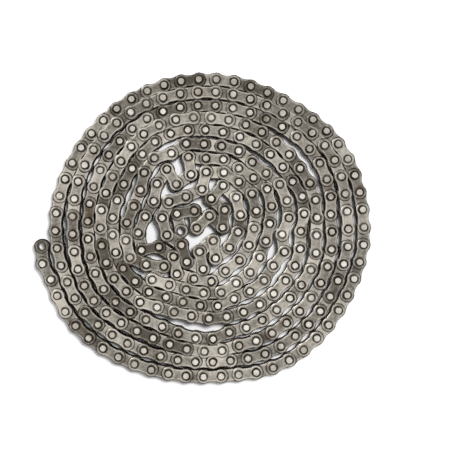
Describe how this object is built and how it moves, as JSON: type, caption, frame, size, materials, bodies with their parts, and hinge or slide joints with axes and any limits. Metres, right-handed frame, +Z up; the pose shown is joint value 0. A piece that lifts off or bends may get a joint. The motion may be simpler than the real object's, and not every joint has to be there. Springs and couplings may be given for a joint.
{
  "type": "coiled roller chain",
  "caption": "Length of bare steel roller chain lying on its side in a flat spiral heap, with its free outer end able to swing.",
  "frame": {"origin": "centre of the heap's plan outline, on the floor it lies on", "axes": "+Z up along the pins, away from the floor; the free outer end lies at -X and the chain winds inwards from it anticlockwise, seen from +Z"},
  "size_m": [0.1826, 0.1688, 0.0146],
  "materials": {
    "oiled_inner_plate": "bare steel with a thin film of oil",
    "oiled_outer_plate": "bare steel with a thin film of oil",
    "bushing_steel": "dark oiled steel",
    "pin_steel": "bright riveted pin ends"
  },
  "bodies": {
    "coil": {"anchor_link_upper_plate": "oiled_outer_plate", "anchor_link_lower_plate": "oiled_outer_plate", "anchor_link_pin_1": "pin_steel", "anchor_link_pin_2": "pin_steel", "coil_run_01": "oiled_inner_plate", "coil_run_02": "oiled_inner_plate", "coil_run_03": "oiled_inner_plate", "coil_run_04": "oiled_inner_plate", "coil_run_05": "oiled_inner_plate", "coil_run_06": "oiled_inner_plate", "coil_run_07": "oiled_inner_plate", "coil_run_08": "oiled_inner_plate", "coil_run_09": "oiled_inner_plate", "coil_run_10": "oiled_inner_plate", "coil_run_11": "oiled_inner_plate", "joining_link_1": "oiled_outer_plate", "joining_link_2": "oiled_outer_plate", "joining_link_3": "oiled_outer_plate", "joining_link_4": "oiled_outer_plate", "joining_link_5": "oiled_outer_plate", "joining_link_6": "oiled_outer_plate", "joining_link_7": "oiled_outer_plate", "joining_link_8": "oiled_outer_plate", "joining_link_9": "oiled_outer_plate", "joining_link_10": "oiled_outer_plate"},
    "third_link": {"third_link_upper_plate": "oiled_inner_plate", "third_link_lower_plate": "oiled_inner_plate", "third_link_bushing_1": "bushing_steel", "third_link_bushing_2": "bushing_steel"},
    "second_link": {"second_link_upper_plate": "oiled_outer_plate", "second_link_lower_plate": "oiled_outer_plate", "second_link_pin_1": "pin_steel", "second_link_pin_2": "pin_steel"},
    "end_link": {"end_link_upper_plate": "oiled_inner_plate", "end_link_lower_plate": "oiled_inner_plate", "end_link_bushing_1": "bushing_steel", "end_link_bushing_2": "bushing_steel"}
  },
  "joints": [
    {"name": "third_link_hinge", "type": "hinge", "parent": "coil", "child": "third_link", "pos_m": [-0.07836, -0.03658, 0.00585], "axis": [0, 0, 1], "range_deg": [0, 45]},
    {"name": "second_link_hinge", "type": "hinge", "parent": "third_link", "child": "second_link", "pos_m": [-0.08182, -0.02771, 0.00585], "axis": [0, 0, 1], "range_deg": [0, 60]},
    {"name": "end_link_hinge", "type": "hinge", "parent": "second_link", "child": "end_link", "pos_m": [-0.08637, -0.01934, 0.00585], "axis": [0, 0, 1], "range_deg": [0, 75]}
  ]
}
